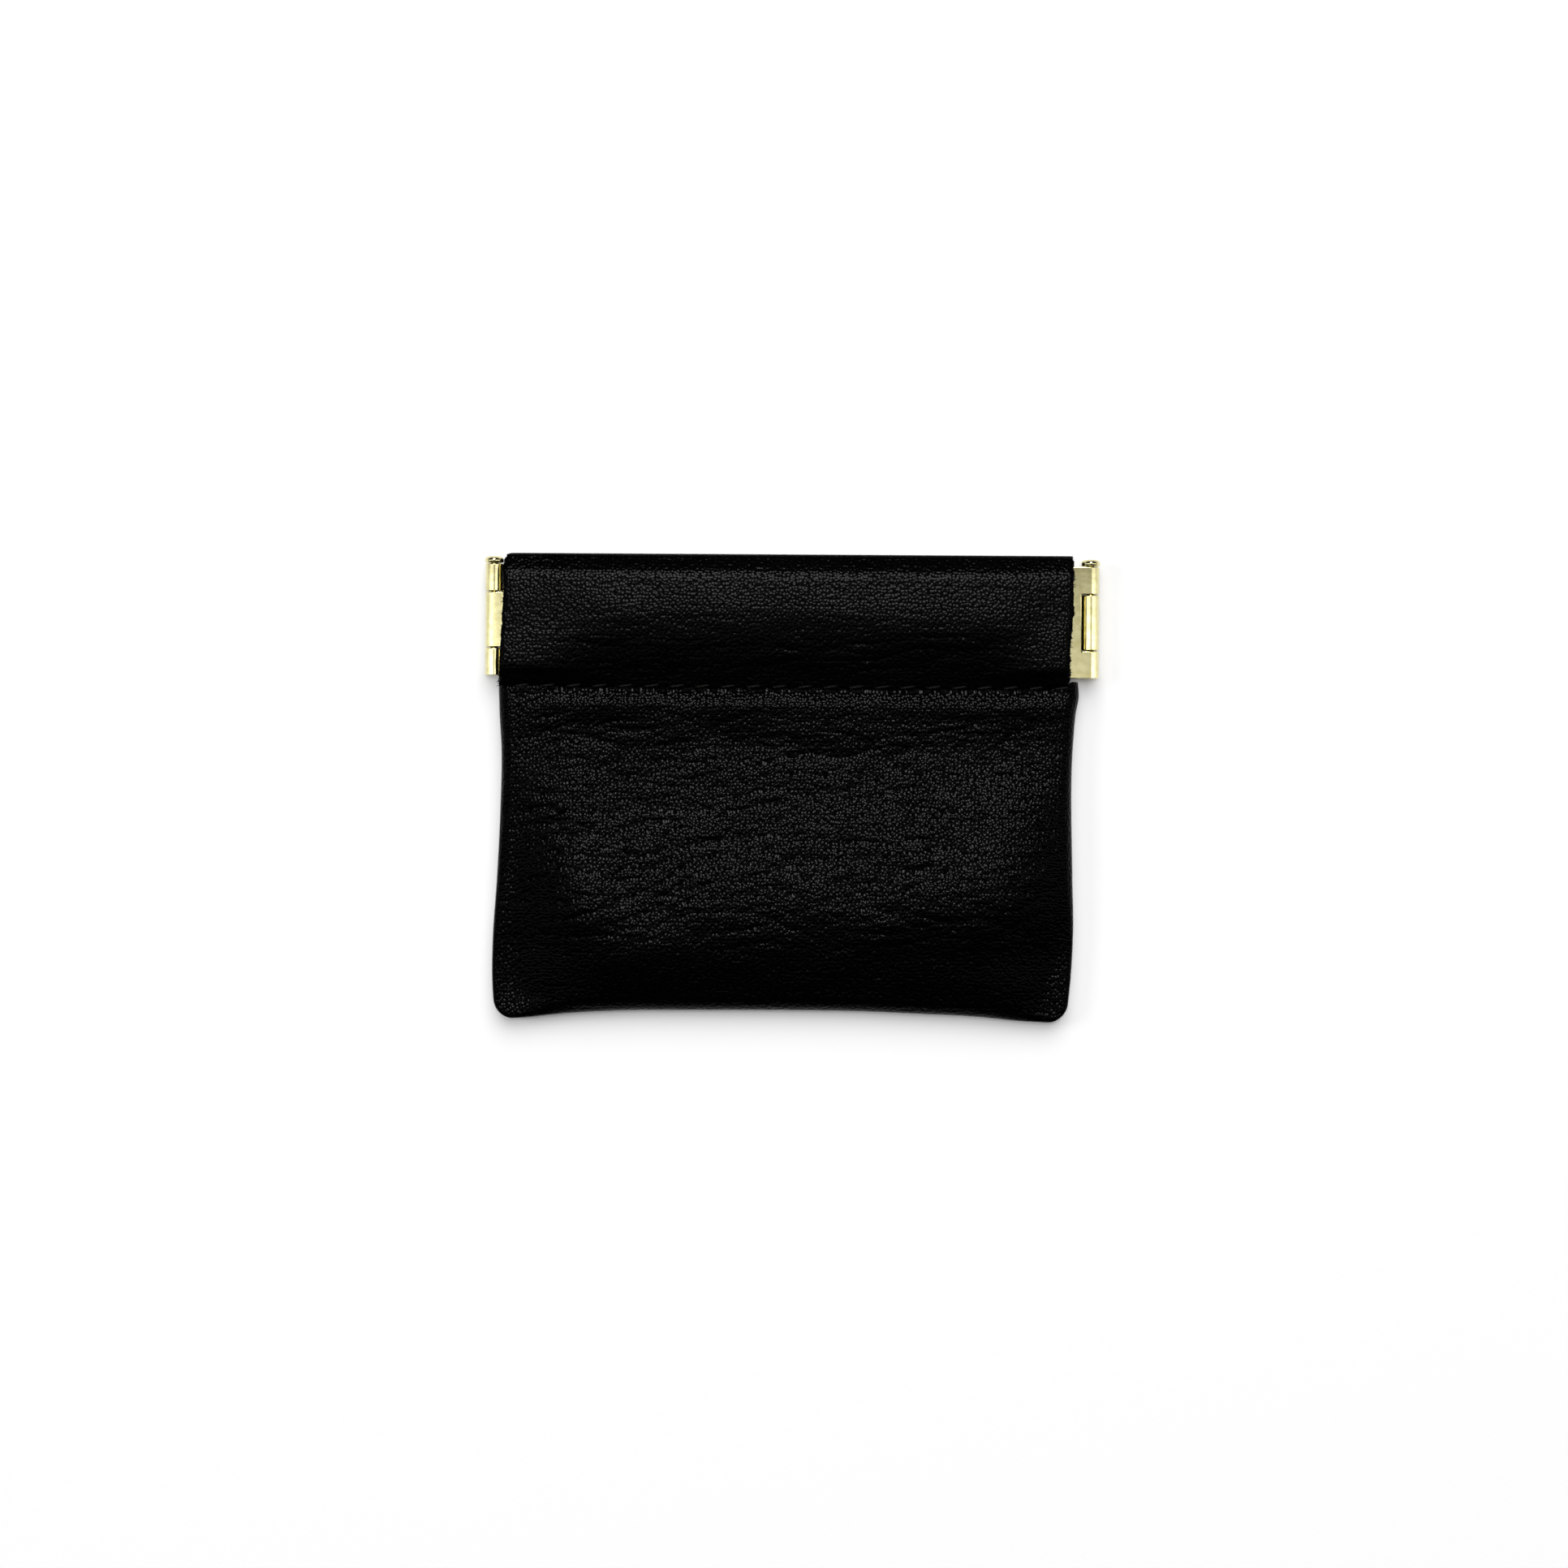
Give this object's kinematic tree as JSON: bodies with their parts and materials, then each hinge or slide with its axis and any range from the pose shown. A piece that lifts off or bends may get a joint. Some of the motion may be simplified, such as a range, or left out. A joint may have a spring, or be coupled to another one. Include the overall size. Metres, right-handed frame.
{
  "type": "squeeze coin purse",
  "caption": "Flat leather coin purse with a sprung metal frame in its mouth: squeezing the two hinged ends bows the frame open, and it snaps shut when let go.",
  "frame": {"origin": "middle of the purse's outline, on the surface that it lies on", "axes": "+X along the mouth, +Y from the bottom edge to the mouth, +Z out of the front"},
  "size_m": [0.0852, 0.0646, 0.0066],
  "materials": {
    "leather": "soft black full-grain leather with a fine pebble grain",
    "frame_metal": "polished pale gold plating",
    "thread": "black sewing thread"
  },
  "bodies": {
    "back_middle": {"back_strip_middle": "frame_metal", "back_casing_middle": "leather", "back_panel_middle": "leather", "back_stitches_middle": "thread", "seam_stitches_middle": "thread"},
    "back_left": {"back_strip_left": "frame_metal", "back_casing_left": "leather", "back_panel_left": "leather", "back_stitches_left": "thread", "seam_stitches_left": "thread", "hinge_pin_left": "frame_metal"},
    "back_right": {"back_strip_right": "frame_metal", "back_casing_right": "leather", "back_panel_right": "leather", "back_stitches_right": "thread", "seam_stitches_right": "thread", "hinge_pin_right": "frame_metal"},
    "front_left": {"front_strip_left": "frame_metal", "front_casing_left": "leather", "front_panel_left": "leather", "front_stitches_left": "thread"},
    "front_middle": {"front_strip_middle": "frame_metal", "front_casing_middle": "leather", "front_stitches_middle": "thread"},
    "front_right": {"front_strip_right": "frame_metal", "front_panel_right": "leather"},
    "front_right_casing": {"front_casing_right": "leather", "front_stitches_right": "thread"},
    "front_middle_panel": {"front_panel_middle": "leather"}
  },
  "joints": [
    {"name": "back_left_bend", "type": "hinge", "parent": "back_middle", "child": "back_left", "pos_m": [-0.012, 0.0234, 0.00235], "axis": [0, 1, 0], "range_deg": [0, 28]},
    {"name": "back_right_bend", "type": "hinge", "parent": "back_middle", "child": "back_right", "pos_m": [0.012, 0.0234, 0.00235], "axis": [0, -1, 0], "range_deg": [0, 28]},
    {"name": "left_hinge", "type": "hinge", "parent": "back_left", "child": "front_left", "pos_m": [-0.0413, 0.0234, 0.00235], "axis": [0, -1, 0], "range_deg": [0, 56], "stiffness_Nm_per_rad": 0.04, "springref_deg": -20.05},
    {"name": "right_hinge", "type": "hinge", "parent": "back_right", "child": "front_right", "pos_m": [0.0413, 0.0234, 0.00235], "axis": [0, 1, 0], "range_deg": [0, 56]},
    {"name": "front_left_bend", "type": "hinge", "parent": "front_left", "child": "front_middle", "pos_m": [-0.012, 0.0234, 0.00235], "axis": [0, 1, 0], "range_deg": [0, 28]},
    {"name": "front_right_bend", "type": "hinge", "parent": "front_middle", "child": "front_right_casing", "pos_m": [0.012, 0.0234, 0.00235], "axis": [0, 1, 0], "range_deg": [0, 28]},
    {"name": "front_panel_lift", "type": "slide", "parent": "back_middle", "child": "front_middle_panel", "axis": [0, 0, 1], "range_m": [0, 0.02751]}
  ],
  "couplings": [
    {"joint": "back_left_bend", "follows": "left_hinge", "ratio": 0.5},
    {"joint": "back_right_bend", "follows": "left_hinge", "ratio": 0.5},
    {"joint": "right_hinge", "follows": "left_hinge", "ratio": 1},
    {"joint": "front_left_bend", "follows": "left_hinge", "ratio": 0.5},
    {"joint": "front_right_bend", "follows": "left_hinge", "ratio": 0.5},
    {"joint": "front_panel_lift", "follows": "left_hinge", "m_per_rad": 0.028148}
  ]
}
